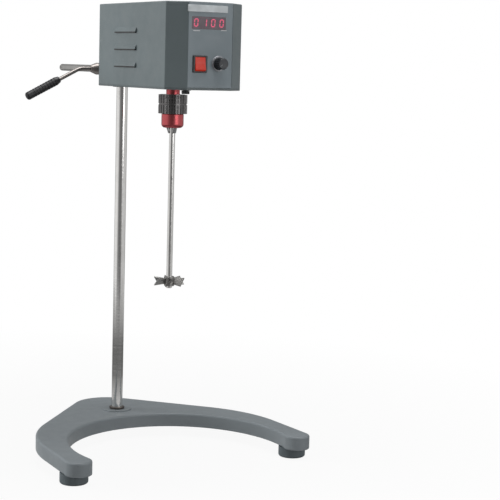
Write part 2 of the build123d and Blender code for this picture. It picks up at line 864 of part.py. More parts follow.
# Cable gland in the back cover, with the seal that a lead would pass through
with BuildPart() as cable_gland:
    with BuildSketch(back_plane):
        with Locations(gland_spot):
            RegularPolygon(gland_flats / 2, 6, major_radius=False)
    extrude(amount=-gland_hex_height)
    with BuildSketch(back_plane.offset(-gland_hex_height)):
        with Locations(gland_spot):
            Circle(gland_flats / 2 - 0.8)
    extrude(amount=-gland_dome_height)
    fillet(cable_gland.edges().group_by(Axis.Y)[-1], gland_dome_height * 0.4)
    with BuildSketch(back_plane):
        with Locations(gland_spot):
            Circle(gland_thread_radius)
    extrude(amount=gland_thread_length)
    with BuildSketch(back_plane.offset(gland_thread_length)):
        with Locations(gland_spot):
            Circle(lead_radius + gland_seal_wall)
    extrude(amount=-(gland_thread_length + gland_hex_height + gland_dome_height), mode=Mode.SUBTRACT)
keep(cable_gland.part, "cable_gland")

with BuildPart() as gland_seal:
    with BuildSketch(back_plane.offset(gland_thread_length - 2)):
        with Locations(gland_spot):
            Circle(lead_radius + gland_seal_wall - fit_gap)
            Circle(lead_radius, mode=Mode.SUBTRACT)
    extrude(amount=-(gland_thread_length - 2 + gland_hex_height + gland_dome_height - 0.5))
keep(gland_seal.part, "gland_seal")

# Front panel and what is fixed in it
front_plane = Plane.XZ.offset(-panel_face)
panel_back = Plane.XZ.offset(-(panel_face + panel_thickness))
panel_low = cover_bottom + 0.1
panel_half_width = head_half_width - bevel_width - 0.25
body_width = rocker_width + 2 * (seat_gap + switch_wall)
body_height = 2 * (rocker_radius + joint_gap + switch_wall / 2)

with BuildPart() as front_panel:
    with BuildSketch(front_plane):
        with Locations((0, (panel_low + head_top) / 2)):
            Rectangle(2 * panel_half_width, head_top - panel_low)
        with Locations((window_centre, window_level)):
            RectangleRounded(window_width, window_height, 1, mode=Mode.SUBTRACT)
        with Locations((switch_centre, switch_level)):
            Rectangle(body_width + seat_gap, body_height + seat_gap, mode=Mode.SUBTRACT)
        with Locations((knob_centre, knob_level)):
            Circle(pot_bush_radius + fit_gap, mode=Mode.SUBTRACT)
    extrude(amount=-panel_thickness)
    chamfer(front_panel.faces().sort_by(Axis.Y)[0].outer_wire().edges(), 0.3)
keep(front_panel.part, "front_panel")

with BuildPart() as name_plate:
    with BuildSketch(front_plane):
        with Locations((plate_centre, plate_level)):
            RectangleRounded(plate_width, plate_height, 1)
    extrude(amount=name_plate_thickness)
    chamfer(name_plate.faces().sort_by(Axis.Y)[0].edges(), 0.25)
keep(name_plate.part, "name_plate")

with BuildPart() as display_window:
    with BuildSketch(front_plane):
        with Locations((window_centre, window_level)):
            RectangleRounded(window_width - seat_gap, window_height - seat_gap, 1)
    extrude(amount=-window_thickness)
keep(display_window.part, "display_window")

module_front = panel_face + window_thickness
module_back = module_front + module_depth
with BuildPart() as display_module:
    with BuildSketch(Plane.XZ.offset(-module_front)):
        with Locations((window_centre, window_level)):
            Rectangle(window_width - 1.4, window_height - 1.4)
    extrude(amount=-module_depth)
    with BuildSketch(Plane.XZ.offset(-module_back)):
        with Locations((window_centre, window_level)):
            RectangleRounded(window_width + 1, window_height + 2 * module_board_margin, 1.5)
    extrude(amount=-board_thickness)
keep(display_module.part, "display_module")

# Rocker switch: its cavity is round about the rocker's pivot
pivot_y = panel_face + rocker_pivot_depth
pivot_side = Plane(origin=(switch_centre, pivot_y, switch_level), x_dir=(0, -1, 0), z_dir=(-1, 0, 0))
cavity_radius = rocker_radius + joint_gap
cavity_half_width = rocker_width / 2 + seat_gap

with BuildPart() as switch_body:
    with BuildSketch(front_plane):
        with Locations((switch_centre, switch_level)):
            RectangleRounded(switch_width, switch_height, 1.5)
    extrude(amount=bezel_thickness)
    fillet(switch_body.faces().sort_by(Axis.Y)[0].edges(), bezel_thickness * 0.35)
    with BuildSketch(front_plane):
        with Locations((switch_centre, switch_level)):
            Rectangle(body_width, body_height)
    extrude(amount=-switch_body_depth)
    with BuildSketch(pivot_side):
        Circle(cavity_radius)
    extrude(amount=cavity_half_width, both=True, mode=Mode.SUBTRACT)
    with BuildSketch(pivot_side):
        with Locations((cavity_radius / 2, 0)):
            Rectangle(cavity_radius, 2 * cavity_radius)
    extrude(amount=cavity_half_width, both=True, mode=Mode.SUBTRACT)
    with BuildSketch(pivot_side):
        Circle(trunnion_radius + running_gap)
    extrude(amount=cavity_half_width + trunnion_length, both=True, mode=Mode.SUBTRACT)
keep(switch_body.part, "switch_body")

tilt = radians(rocker_tilt)
rest_side = Plane(origin=pivot_side.origin, x_dir=(0, -cos(tilt), sin(tilt)), z_dir=(-1, 0, 0))
heel_reach = rocker_heel_angle - rocker_corner_angle

with BuildPart() as switch_rocker:
    with BuildSketch(rest_side):
        with BuildLine():
            upper = CenterArc((0, 0), rocker_radius, rocker_corner_angle, heel_reach)
            lower = CenterArc((0, 0), rocker_radius, -rocker_heel_angle, heel_reach)
            Line(upper @ 1, lower @ 0)
            Line(lower @ 1, (rocker_waist, 0))
            Line((rocker_waist, 0), upper @ 0)
        make_face()
    extrude(amount=rocker_width / 2, both=True)
    fillet(switch_rocker.edges().filter_by(Axis.X).group_by(Axis.Y)[0], 0.8)
    with BuildSketch(rest_side):
        Circle(trunnion_radius)
    extrude(amount=rocker_width / 2 + trunnion_length, both=True)
keep(switch_rocker.part, "switch_rocker")

# Speed control: potentiometer behind the panel, dial ring and knob in front
knob_spot = (knob_centre, knob_level)
knob_base = dial_thickness + knob_lift
knob_front = knob_base + knob_length
shaft_tip = knob_front - knob_crown

with BuildPart() as potentiometer:
    with BuildSketch(panel_back):
        with Locations(knob_spot):
            Circle(pot_radius)
    extrude(amount=-pot_depth)
    with BuildSketch(panel_back):
        with Locations(knob_spot):
            Circle(pot_bush_radius)
    extrude(amount=panel_thickness + pot_nut_height + 0.5)
    with BuildSketch(panel_back.offset(-pot_depth / 2)):
        with Locations(knob_spot):
            Circle(pot_shaft_radius + running_gap)
    extrude(amount=pot_depth + panel_thickness + pot_nut_height, mode=Mode.SUBTRACT)
keep(potentiometer.part, "potentiometer")

with BuildPart() as pot_nut:
    with BuildSketch(front_plane):
        with Locations(knob_spot):
            RegularPolygon(pot_nut_radius, 6)
            Circle(pot_bush_radius + fit_gap, mode=Mode.SUBTRACT)
    extrude(amount=pot_nut_height)
keep(pot_nut.part, "pot_nut")

with BuildPart() as dial_ring:
    with BuildSketch(front_plane):
        with Locations(knob_spot):
            Circle(dial_radius)
            Circle(pot_nut_radius + seat_gap, mode=Mode.SUBTRACT)
    extrude(amount=dial_thickness)
    chamfer(dial_ring.edges().group_by(Axis.Y)[0].sort_by(SortBy.LENGTH)[-1], dial_thickness * 0.6)
keep(dial_ring.part, "dial_ring")

with BuildPart() as pot_shaft:
    with BuildSketch(panel_back.offset(-pot_depth / 2 + joint_gap)):
        with Locations(knob_spot):
            Circle(pot_shaft_radius)
    extrude(amount=pot_depth / 2 - joint_gap + panel_thickness + shaft_tip)
keep(pot_shaft.part, "pot_shaft")

with BuildPart() as speed_knob:
    with BuildSketch(front_plane.offset(knob_base)):
        with Locations(knob_spot):
            Circle(knob_radius)
    extrude(amount=knob_length)
    chamfer(speed_knob.edges().group_by(Axis.Y)[0], 0.8)
    with BuildSketch(front_plane.offset(knob_base + knob_skirt_height)):
        with Locations(knob_spot):
            with PolarLocations(knob_radius + 0.5, knob_flutes):
                Circle(1.1)
    extrude(amount=knob_length, mode=Mode.SUBTRACT)
    with BuildSketch(front_plane.offset(knob_base)):
        with Locations(knob_spot):
            Circle(knob_radius + knob_taper)
    extrude(amount=knob_skirt_height, taper=30)
    with BuildSketch(front_plane.offset(knob_base)):
        with Locations(knob_spot):
            Circle(pot_nut_radius + seat_gap)
    extrude(amount=pot_nut_height + 1, mode=Mode.SUBTRACT)
    with BuildSketch(front_plane.offset(knob_base)):
        with Locations(knob_spot):
            Circle(pot_shaft_radius + fit_gap)
    extrude(amount=shaft_tip - knob_base + fit_gap, mode=Mode.SUBTRACT)
keep(speed_knob.part, "speed_knob")

# Fuse holder through the floor, with its cap under the head
with BuildPart() as fuse_holder:
    with BuildSketch(Plane.XY.offset(head_bottom)):
        with Locations((fuse_x, fuse_y)):
            Circle(fuse_flange_radius)
    extrude(amount=-fuse_flange_height)
    chamfer(fuse_holder.edges().group_by(Axis.Z)[0], 0.4)
    with BuildSketch(Plane.XY.offset(head_bottom)):
        with Locations((fuse_x, fuse_y)):
            Circle(fuse_body_radius)
    extrude(amount=fuse_body_height)
    with BuildSketch(Plane.XY.offset(head_bottom - fuse_flange_height)):
        with Locations((fuse_x, fuse_y)):
            Circle(fuse_stem_radius + running_gap)
    extrude(amount=fuse_stem_length + joint_gap, mode=Mode.SUBTRACT)
keep(fuse_holder.part, "fuse_holder")

fuse_cap_top = head_bottom - fuse_flange_height - joint_gap

with BuildPart() as fuse_cap:
    with BuildSketch(Plane.XY.offset(fuse_cap_top)):
        with Locations((fuse_x, fuse_y)):
            Circle(fuse_cap_radius)
    extrude(amount=-fuse_cap_height)
    chamfer(fuse_cap.edges().group_by(Axis.Z)[0], 0.7)
    with BuildSketch(Plane.XY.offset(fuse_cap_top)):
        with Locations((fuse_x, fuse_y)):
            Circle(fuse_stem_radius)
    extrude(amount=fuse_stem_length)
    with BuildSketch(Plane.XY.offset(fuse_cap_top - 1)):
        with Locations((fuse_x, fuse_y)):
            with PolarLocations(fuse_cap_radius + 0.3, 14):
                Circle(0.7)
    extrude(amount=-fuse_cap_height, mode=Mode.SUBTRACT)
    with BuildSketch(Plane.XY.offset(fuse_cap_top - fuse_cap_height)):
        with Locations((fuse_x, fuse_y)):
            Rectangle(1.2, 1.4 * fuse_cap_radius)
    extrude(amount=1, mode=Mode.SUBTRACT)
keep(fuse_cap.part, "fuse_cap")

# Gear frame: four pillars carry a plate with the upper bearing and the motor
pillar_places = [(side * pillar_spread, row) for side in (-1, 1) for row in pillar_rows]
plate_top = gear_plate_level + gear_plate_thickness
upper_bearing_low = plate_top - 2.5 - bearing_width
plate_front = pillar_rows[0] - pillar_margin
plate_back = pillar_rows[1] + pillar_margin

with BuildPart() as gear_pillars:
    with BuildSketch(Plane.XY.offset(floor_top)):
        with Locations(*pillar_places):
            Circle(pillar_radius)
    extrude(amount=gear_plate_level - floor_top)
    with BuildSketch(Plane.XY.offset(gear_plate_level)):
        with Locations(*pillar_places):
            Circle(pillar_radius / 2)
    extrude(amount=gear_plate_thickness + pillar_head)
keep(gear_pillars.part, "gear_pillars")

with BuildPart() as gear_plate:
    with BuildSketch(Plane.XY.offset(gear_plate_level)):
        with Locations((0, (plate_front + plate_back) / 2)):
            RectangleRounded(2 * gear_plate_half_width, plate_back - plate_front, 8)
    extrude(amount=gear_plate_thickness)
    with BuildSketch(Plane.XY.offset(upper_bearing_low)):
        with Locations(spindle_plan):
            Circle(bearing_housing)
    extrude(amount=gear_plate_level - upper_bearing_low)
    with BuildSketch(Plane.XY.offset(upper_bearing_low)):
        with Locations(spindle_plan):
            Circle(bearing_seat)
    extrude(amount=bearing_width, mode=Mode.SUBTRACT)
    with BuildSketch(Plane.XY.offset(gear_plate_level)):
        with Locations(spindle_plan):
            Circle(lip_hole)
        with Locations(motor_plan):
            Circle(motor_shaft_radius + 1)
        with Locations(*pillar_places):
            Circle(pillar_radius / 2 + fit_gap)
    extrude(amount=gear_plate_thickness, mode=Mode.SUBTRACT)
keep(gear_plate.part, "gear_plate")


def bearing_profile(low):
    """Outer ring and its two shields, as radius and height."""
    inner_edge = spindle_radius + bearing_race + running_gap
    ring_inside = bearing_radius - bearing_race
    return [
        (bearing_radius, low),
        (bearing_radius, low + bearing_width),
        (inner_edge, low + bearing_width),
        (inner_edge, low + bearing_width - 0.8),
        (ring_inside, low + bearing_width - 0.8),
        (ring_inside, low + 0.8),
        (inner_edge, low + 0.8),
        (inner_edge, low),
    ]


spindle_side = Plane(origin=(0, spindle_y, 0), x_dir=(1, 0, 0), z_dir=(0, -1, 0))
spindle_line = Axis((0, spindle_y, 0), (0, 0, 1))
bearing_levels = [bearing_low, upper_bearing_low]

with BuildPart() as bearing_outer_rings:
    for low in bearing_levels:
        with BuildSketch(spindle_side):
            with BuildLine():
                Polyline(*bearing_profile(low), close=True)
            make_face()
        revolve(axis=spindle_line)
keep(bearing_outer_rings.part, "bearing_outer_rings")

with BuildPart() as bearing_inner_rings:
    for low in bearing_levels:
        with BuildSketch(Plane.XY.offset(low)):
            with Locations(spindle_plan):
                Circle(spindle_radius + bearing_race)
                Circle(spindle_radius + fit_gap, mode=Mode.SUBTRACT)
        extrude(amount=bearing_width)
keep(bearing_inner_rings.part, "bearing_inner_rings")

with BuildPart() as spindle_gear:
    with BuildSketch(Plane.XY.offset(gear_level)):
        with Locations(spindle_plan):
            Polygon(*gear_points(spindle_teeth, pi / 2), align=None)
    extrude(amount=gear_width)
    with BuildSketch(Plane.XY.offset(gear_level)):
        with Locations(spindle_plan):
            with PolarLocations(gear_module * spindle_teeth / 3, 5):
                Circle(gear_module * spindle_teeth / 11)
    extrude(amount=gear_width, mode=Mode.SUBTRACT)
    with BuildSketch(Plane.XY.offset(bearing_low + bearing_width + seat_gap)):
        with Locations(spindle_plan):
            Circle(gear_hub_radius)
    extrude(amount=upper_bearing_low - bearing_low - bearing_width - 2 * seat_gap)
    with BuildSketch(Plane.XY.offset(bearing_low)):
        with Locations(spindle_plan):
            Circle(spindle_radius + fit_gap)
    extrude(amount=upper_bearing_low - bearing_low, mode=Mode.SUBTRACT)
keep(spindle_gear.part, "spindle_gear")

with BuildPart() as motor_pinion:
    with BuildSketch(Plane.XY.offset(gear_level - 1)):
        with Locations(motor_plan):
            Polygon(*gear_points(pinion_teeth, -pi / 2 - pi / pinion_teeth), align=None)
            Circle(motor_shaft_radius + fit_gap, mode=Mode.SUBTRACT)
    extrude(amount=gear_width + 2)
keep(motor_pinion.part, "motor_pinion")

# Motor: can with two magnets, end cap, and a slotted rotor on its shaft
motor_top = plate_top + motor_length
magnet_outer = motor_radius - motor_wall
magnet_inner = magnet_outer - magnet_thickness
rotor_radius = magnet_inner - rotor_air_gap
core_low = plate_top + core_foot
core_high = motor_top - core_head
cap_top = motor_top + motor_cap_thickness
encoder_level = cap_top + 2.5

with BuildPart() as motor_can:
    with BuildSketch(Plane.XY.offset(plate_top)):
        with Locations(motor_plan):
            Circle(motor_radius)
    extrude(amount=motor_length)
    with BuildSketch(Plane.XY.offset(plate_top + 1.5 * motor_wall)):
        with Locations(motor_plan):
            Circle(magnet_outer)
    extrude(amount=motor_length, mode=Mode.SUBTRACT)
    with BuildSketch(Plane.XY.offset(plate_top)):
        with Locations(motor_plan):
            Circle(motor_shaft_radius + running_gap)
    extrude(amount=2 * motor_wall, mode=Mode.SUBTRACT)
keep(motor_can.part, "motor_can")

with BuildPart() as motor_magnets:
    with BuildSketch(Plane.XY.offset(core_low)):
        with Locations(motor_plan):
            Circle(magnet_outer - fit_gap)
            Circle(magnet_inner, mode=Mode.SUBTRACT)
            Rectangle(magnet_outer * 0.9, 3 * magnet_outer, mode=Mode.SUBTRACT)
    extrude(amount=core_high - core_low)
keep(motor_magnets.part, "motor_magnets")

with BuildPart() as motor_cap:
    with BuildSketch(Plane.XY.offset(motor_top)):
        with Locations(motor_plan):
            Circle(motor_radius)
            Circle(motor_shaft_radius + running_gap, mode=Mode.SUBTRACT)
            with PolarLocations(motor_radius * 0.62, 6, start_angle=30):
                Circle(motor_radius * 0.12, mode=Mode.SUBTRACT)
    extrude(amount=motor_cap_thickness)
keep(motor_cap.part, "motor_cap")

with BuildPart() as motor_rotor:
    with BuildSketch(Plane.XY.offset(core_low)):
        with Locations(motor_plan):
            Circle(rotor_radius)
            with PolarLocations(rotor_radius, rotor_slots):
                Rectangle(rotor_radius * 0.7, 1.6, mode=Mode.SUBTRACT)
    extrude(amount=core_high - core_low)
    with BuildSketch(Plane.XY.offset(core_high)):
        with Locations(motor_plan):
            Circle(rotor_radius * 0.42)
    extrude(amount=8)
    with BuildSketch(Plane.XY.offset(gear_level - 2)):
        with Locations(motor_plan):
            Circle(motor_shaft_radius)
    extrude(amount=encoder_level + 4.5 - gear_level)
keep(motor_rotor.part, "motor_rotor")

with BuildPart() as encoder_disc:
    with BuildSketch(Plane.XY.offset(encoder_level)):
        with Locations(motor_plan):
            Circle(encoder_radius)
            with PolarLocations(encoder_radius - 2.4, encoder_slots):
                Rectangle(2.6, 1.6, mode=Mode.SUBTRACT)
    extrude(amount=encoder_thickness)
    with BuildSketch(Plane.XY.offset(cap_top + joint_gap)):
        with Locations(motor_plan):
            Circle(motor_shaft_radius + 2)
    extrude(amount=encoder_level - cap_top - joint_gap)
    with BuildSketch(Plane.XY.offset(cap_top)):
        with Locations(motor_plan):
            Circle(motor_shaft_radius + fit_gap)
    extrude(amount=encoder_level + encoder_thickness - cap_top, mode=Mode.SUBTRACT)
keep(encoder_disc.part, "encoder_disc")

with BuildPart() as speed_sensor:
    with BuildSketch(Plane.XY.offset(cap_top)):
        with Locations((0, motor_y + encoder_radius + 1)):
            Rectangle(8, 11)
    extrude(amount=encoder_level + encoder_thickness + 3.5 - cap_top)
    with BuildSketch(Plane.XY.offset(encoder_level - 0.6)):
        with Locations((0, motor_y + encoder_radius + 0.6 - 6)):
            Rectangle(9, 12)
    extrude(amount=encoder_thickness + 1.2, mode=Mode.SUBTRACT)
keep(speed_sensor.part, "speed_sensor")

# Control board behind the motor, on standoffs from the back cover
board_y = head_back + back_plate_thickness + board_standoff
board_plane = Plane.XZ.offset(board_y)
board_middle = board_level + board_height / 2

with BuildPart() as board_standoffs:
    with BuildSketch(back_plane.offset(back_plate_thickness)):
        with Locations(*stand_spots):
            RegularPolygon(standoff_radius, 6)
    extrude(amount=board_standoff)
keep(board_standoffs.part, "board_standoffs")

with BuildPart() as control_board:
    with BuildSketch(board_plane):
        with Locations((0, board_middle)):
            RectangleRounded(2 * board_half_width, board_height, 2)
    extrude(amount=board_thickness)
keep(control_board.part, "control_board")

# Chuck
sleeve_bottom = chuck_top - sleeve_height
sleeve_top = chuck_top - joint_gap
collar_top = sleeve_bottom - joint_gap
body_radius = sleeve_radius - sleeve_wall - running_gap
body_low_radius = collar_radius - collar_wall - fit_gap
body_bottom = collar_bottom + collar_floor + fit_gap
rib_low = sleeve_bottom + rib_foot
rib_high = rib_low + rib_height
lean = radians(jaw_angle)


def jaw_outside(level):
    """Largest radius that a jaw reaches at a level, when it is drawn back."""
    axis_radius = jaw_tip_offset + (level - jaw_tip) * tan(lean)
    return axis_radius + (jaw_radius + running_gap) / cos(lean)


rib_gap = joint_gap + 0.05
groove_radius = jaw_outside(rib_low) - rib_gap

with BuildPart() as spindle:
    with BuildSketch(Plane.XY.offset(socket_bottom + fit_gap)):
        with Locations(spindle_plan):
            Circle(spindle_radius)
    extrude(amount=plate_top + 5 - socket_bottom)
    chamfer(spindle.edges().group_by(Axis.Z)[-1], 0.8)
keep(spindle.part, "spindle")

with BuildPart() as chuck_hub:
    with BuildSketch(Plane.XY.offset(chuck_top)):
        with Locations(spindle_plan):
            Circle(chuck_hub_radius)
            Circle(spindle_radius + fit_gap, mode=Mode.SUBTRACT)
    extrude(amount=head_bottom - joint_gap - chuck_top)
    fillet(chuck_hub.edges().group_by(Axis.Z)[-1].sort_by(SortBy.LENGTH)[-1], 1.2)
keep(chuck_hub.part, "chuck_hub")

with BuildPart() as chuck_body:
    with BuildSketch(spindle_side):
        with BuildLine():
            Polyline(
                (shaft_radius + fit_gap, body_bottom),
                (body_low_radius - collar_cone_width, body_bottom),
                (body_low_radius, body_bottom + collar_cone_height),
                (body_low_radius, sleeve_bottom),
                (body_radius, sleeve_bottom),
                (body_radius, rib_low - joint_gap),
                (groove_radius, rib_low - joint_gap),
                (groove_radius, rib_high + joint_gap),
                (body_radius, rib_high + joint_gap),
                (body_radius, chuck_top),
                (spindle_radius + fit_gap, chuck_top),
                (spindle_radius + fit_gap, socket_bottom),
                (shaft_radius + fit_gap, socket_bottom),
                close=True,
            )
        make_face()
    revolve(axis=spindle_line)
    for jaw in range(3):
        with BuildSketch(jaw_plane(jaw)):
            Circle(jaw_radius + running_gap)
        extrude(amount=jaw_length + jaw_travel + 1, mode=Mode.SUBTRACT)
keep(chuck_body.part, "chuck_body")

with BuildPart() as chuck_collar:
    with BuildSketch(spindle_side):
        with BuildLine():
            Polyline(
                (collar_mouth_radius, collar_bottom),
                (collar_radius, collar_bottom),
                (collar_radius, collar_top),
                (collar_radius - collar_wall, collar_top),
                (collar_radius - collar_wall, collar_bottom + collar_floor + collar_cone_height),
                (collar_radius - collar_wall - collar_cone_width, collar_bottom + collar_floor),
                (collar_mouth_radius + 1, collar_bottom + collar_floor),
                close=True,
            )
        make_face()
    revolve(axis=spindle_line)
    outer_low = chuck_collar.edges().group_by(Axis.Z)[0].sort_by(SortBy.LENGTH)[-1]
    fillet(outer_low, collar_edge_radius)
    chamfer(chuck_collar.edges().group_by(Axis.Z)[-1].sort_by(SortBy.LENGTH)[-1], 0.8)
keep(chuck_collar.part, "chuck_collar")

band = (sleeve_top - sleeve_bottom - sleeve_groove) / 2

with BuildPart() as chuck_sleeve:
    with BuildSketch(Plane.XY.offset(sleeve_bottom)):
        with Locations(spindle_plan):
            Circle(sleeve_radius - 0.8)
    extrude(amount=sleeve_top - sleeve_bottom)
    for low in (sleeve_bottom, sleeve_top - band):
        with BuildSketch(Plane.XY.offset(low)):
            with Locations(spindle_plan):
                Circle(sleeve_radius)
                with PolarLocations(sleeve_radius + 0.3, sleeve_flutes):
                    Rectangle(1.7, 1.7, rotation=45, mode=Mode.SUBTRACT)
        extrude(amount=band)
    with BuildSketch(spindle_side):
        with BuildLine():
            Polyline(
                (0, sleeve_bottom),
                (body_radius + running_gap, sleeve_bottom),
                (body_radius + running_gap, rib_low),
                (jaw_outside(rib_low) + rib_gap, rib_low),
                (jaw_outside(rib_high) + rib_gap, rib_high),
                (body_radius + running_gap, rib_high),
                (body_radius + running_gap, sleeve_top),
                (0, sleeve_top),
                close=True,
            )
        make_face()
    revolve(axis=spindle_line, mode=Mode.SUBTRACT)
keep(chuck_sleeve.part, "chuck_sleeve")

for jaw in range(3):
    way = radians(jaw_phase + 120 * jaw)
    with BuildPart() as chuck_jaw:
        with BuildSketch(jaw_plane(jaw).offset(-2)):
            Circle(jaw_radius)
        extrude(amount=jaw_length + 2)
        grip_face = Plane(
            origin=(cos(way) * (shaft_radius + fit_gap), spindle_y + sin(way) * (shaft_radius + fit_gap), jaw_tip),
            z_dir=(cos(way), sin(way), 0),
        )
        split(bisect_by=grip_face, keep=Keep.TOP)
        split(bisect_by=Plane.XY.offset(jaw_tip), keep=Keep.TOP)
        with BuildSketch(spindle_side):
            with BuildLine():
                Polyline(
                    (jaw_nose_radius, jaw_tip),
                    (4 * jaw_nose_radius, jaw_tip),
                    (4 * jaw_nose_radius, jaw_tip + 4 * jaw_nose_radius),
                    (jaw_nose_radius + 2.4, jaw_tip + jaw_overhang),
                    close=True,
                )
            make_face()
        revolve(axis=spindle_line, mode=Mode.SUBTRACT)
    keep(chuck_jaw.part, f"chuck_jaw_{jaw + 1}")

# Stirring shaft and impeller
with BuildPart() as stirrer_shaft:
    with BuildSketch(Plane.XY.offset(shaft_end)):
        with Locations(spindle_plan):
            Circle(shaft_radius)
    extrude(amount=shaft_top - shaft_end)
    chamfer(stirrer_shaft.edges().group_by(Axis.Z)[0], 0.6)
keep(stirrer_shaft.part, "stirrer_shaft")

impeller_low = impeller_level - impeller_hub_height / 2
blade_sections = [
    (impeller_hub_radius - 1, blade_root_chord, blade_root_pitch),
    (impeller_radius, blade_tip_chord, blade_tip_pitch),
]

with BuildPart() as blade:
    for reach, chord, pitch in blade_sections:
        slope = radians(pitch)
        with BuildSketch(Plane(origin=(reach, 0, 0), x_dir=(0, cos(slope), sin(slope)), z_dir=(1, 0, 0))):
            Rectangle(chord, blade_thickness)
    loft()

with BuildPart() as impeller:
    with BuildSketch(Plane.XY.offset(impeller_low)):
        with Locations(spindle_plan):
            Circle(impeller_hub_radius)
    extrude(amount=impeller_hub_height)
    chamfer(impeller.edges().group_by(Axis.Z)[0] + impeller.edges().group_by(Axis.Z)[-1], 0.6)
    with Locations((0, spindle_y, impeller_level)):
        with PolarLocations(0, blade_count, start_angle=blade_phase):
            add(blade.part)
    with BuildSketch(Plane.XY.offset(impeller_low - blade_tip_chord)):
        with Locations(spindle_plan):
            Circle(shaft_radius + fit_gap)
    extrude(amount=impeller_hub_height + 2 * blade_tip_chord, mode=Mode.SUBTRACT)
    with BuildSketch(grub_plane):
        Circle(grub_screw_radius + fit_gap)
    extrude(amount=impeller_hub_radius, mode=Mode.SUBTRACT)
keep(impeller.part, "impeller")

with BuildPart() as impeller_screw:
    with BuildSketch(grub_plane.offset(shaft_radius + 2 * fit_gap)):
        Circle(grub_screw_radius)
    extrude(amount=impeller_hub_radius - shaft_radius - 0.3)
keep(impeller_screw.part, "impeller_screw")


def write_parts():
    """Writes every finished piece to its own file."""
    os.makedirs("parts", exist_ok=True)
    for part in made:
        export_step(part, f"parts/{part.label}.step")


write_parts()
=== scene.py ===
from math import cos, pi, radians, sin

import bmesh
import bpy
from mathutils import Matrix, Vector


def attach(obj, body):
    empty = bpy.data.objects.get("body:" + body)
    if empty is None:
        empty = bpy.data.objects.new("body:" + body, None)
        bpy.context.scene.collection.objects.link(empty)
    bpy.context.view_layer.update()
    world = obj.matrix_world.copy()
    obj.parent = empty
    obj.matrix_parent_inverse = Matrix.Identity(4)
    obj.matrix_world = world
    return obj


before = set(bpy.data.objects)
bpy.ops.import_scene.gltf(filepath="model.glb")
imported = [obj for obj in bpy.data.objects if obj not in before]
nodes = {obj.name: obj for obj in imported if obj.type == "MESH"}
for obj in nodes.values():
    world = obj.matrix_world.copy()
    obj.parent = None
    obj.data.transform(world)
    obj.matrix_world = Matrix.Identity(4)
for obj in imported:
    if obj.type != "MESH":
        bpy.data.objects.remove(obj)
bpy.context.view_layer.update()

MM = 0.001
IMAGE_SIZE = 500

# Camera, solved from the photograph's perspective
CAMERA_AZIMUTH = -30.18
CAMERA_PITCH = 7.07
CAMERA_ROLL = 1.58
CAMERA_FOCAL_PX = 1492.6
CAMERA_AIM = Vector((0.21837, 0.0, 0.25991))
CAMERA_DISTANCE = 2.27043
SENSOR_MM = 36.0

# Places of the head in mm, as in the part's source
PANEL_FACE = -261.0
HEAD_BOTTOM = 505.3
HEAD_WIDTH = 110.5
LOUVRE_MIDDLE = -127.0
LOUVRE_LENGTH = 64.0
LOUVRE_UP = 27.7
LOUVRE_PITCH = 22.7
LOUVRE_COUNT = 3
KNOB_U, KNOB_V = 12.5, 539.5
KNOB_FACE = 14.1


def make_camera():
    """Places the camera so that the object lies in the picture as it does in the photograph."""
    a, e, r = (radians(v) for v in (CAMERA_AZIMUTH, CAMERA_PITCH, CAMERA_ROLL))
    forward = Vector((-sin(a) * cos(e), cos(a) * cos(e), -sin(e)))
    level = Vector((cos(a), sin(a), 0.0))
    rise = level.cross(forward)
    right = level * cos(r) + rise * sin(r)
    up = rise * cos(r) - level * sin(r)
    data = bpy.data.cameras.new("camera")
    data.sensor_width = SENSOR_MM
    data.sensor_fit = "HORIZONTAL"
    data.lens = CAMERA_FOCAL_PX / IMAGE_SIZE * SENSOR_MM
    data.clip_start = 0.05
    data.clip_end = 60.0
    cam = bpy.data.objects.new("camera", data)
    bpy.context.scene.collection.objects.link(cam)
    turn = Matrix((right, up, -forward)).transposed().to_4x4()
    cam.matrix_world = Matrix.Translation(CAMERA_AIM - forward * CAMERA_DISTANCE) @ turn
    bpy.context.scene.camera = cam


make_camera()


# Materials

class Graph:
    """A node tree with short ways to add and link nodes."""

    def __init__(self, tree):
        self.nodes = tree.nodes
        self.links = tree.links

    def fill(self, socket, value):
        """Links a socket to an output, or sets it where the value is a constant."""
        if isinstance(value, bpy.types.NodeSocket):
            self.links.new(value, socket)
        else:
            socket.default_value = value

    def math(self, operation, first, second):
        node = self.nodes.new("ShaderNodeMath")
        node.operation = operation
        self.fill(node.inputs[0], first)
        self.fill(node.inputs[1], second)
        return node.outputs[0]

    def dot(self, vector, direction):
        node = self.nodes.new("ShaderNodeVectorMath")
        node.operation = "DOT_PRODUCT"
        self.links.new(vector, node.inputs[0])
        node.inputs[1].default_value = direction
        return node.outputs["Value"]

    def ramp(self, value, low, high, start=0.3, end=0.7):
        """Maps a value from start..end to low..high."""
        node = self.nodes.new("ShaderNodeMapRange")
        node.inputs["From Min"].default_value = start
        node.inputs["From Max"].default_value = end
        node.inputs["To Min"].default_value = low
        node.inputs["To Max"].default_value = high
        self.links.new(value, node.inputs["Value"])
        return node.outputs["Result"]

    def greys(self, value, first, last, stops):
        """A ramp of greys over 0..1: its first and last grey, and (place, grey) stops between them."""
        node = self.nodes.new("ShaderNodeValToRGB")
        node.color_ramp.elements[0].color = (*first, 1.0)
        node.color_ramp.elements[1].color = (*last, 1.0)
        for place, grey in stops:
            node.color_ramp.elements.new(place).color = (grey, grey, grey, 1.0)
        self.links.new(value, node.inputs["Fac"])
        return node.outputs["Color"]

    def mixed_color(self, factor, first, second):
        node = self.nodes.new("ShaderNodeMix")
        node.data_type = "RGBA"
        self.links.new(factor, node.inputs["Factor"])
        self.fill(node.inputs[6], first)
        self.fill(node.inputs[7], second)
        return node.outputs[2]


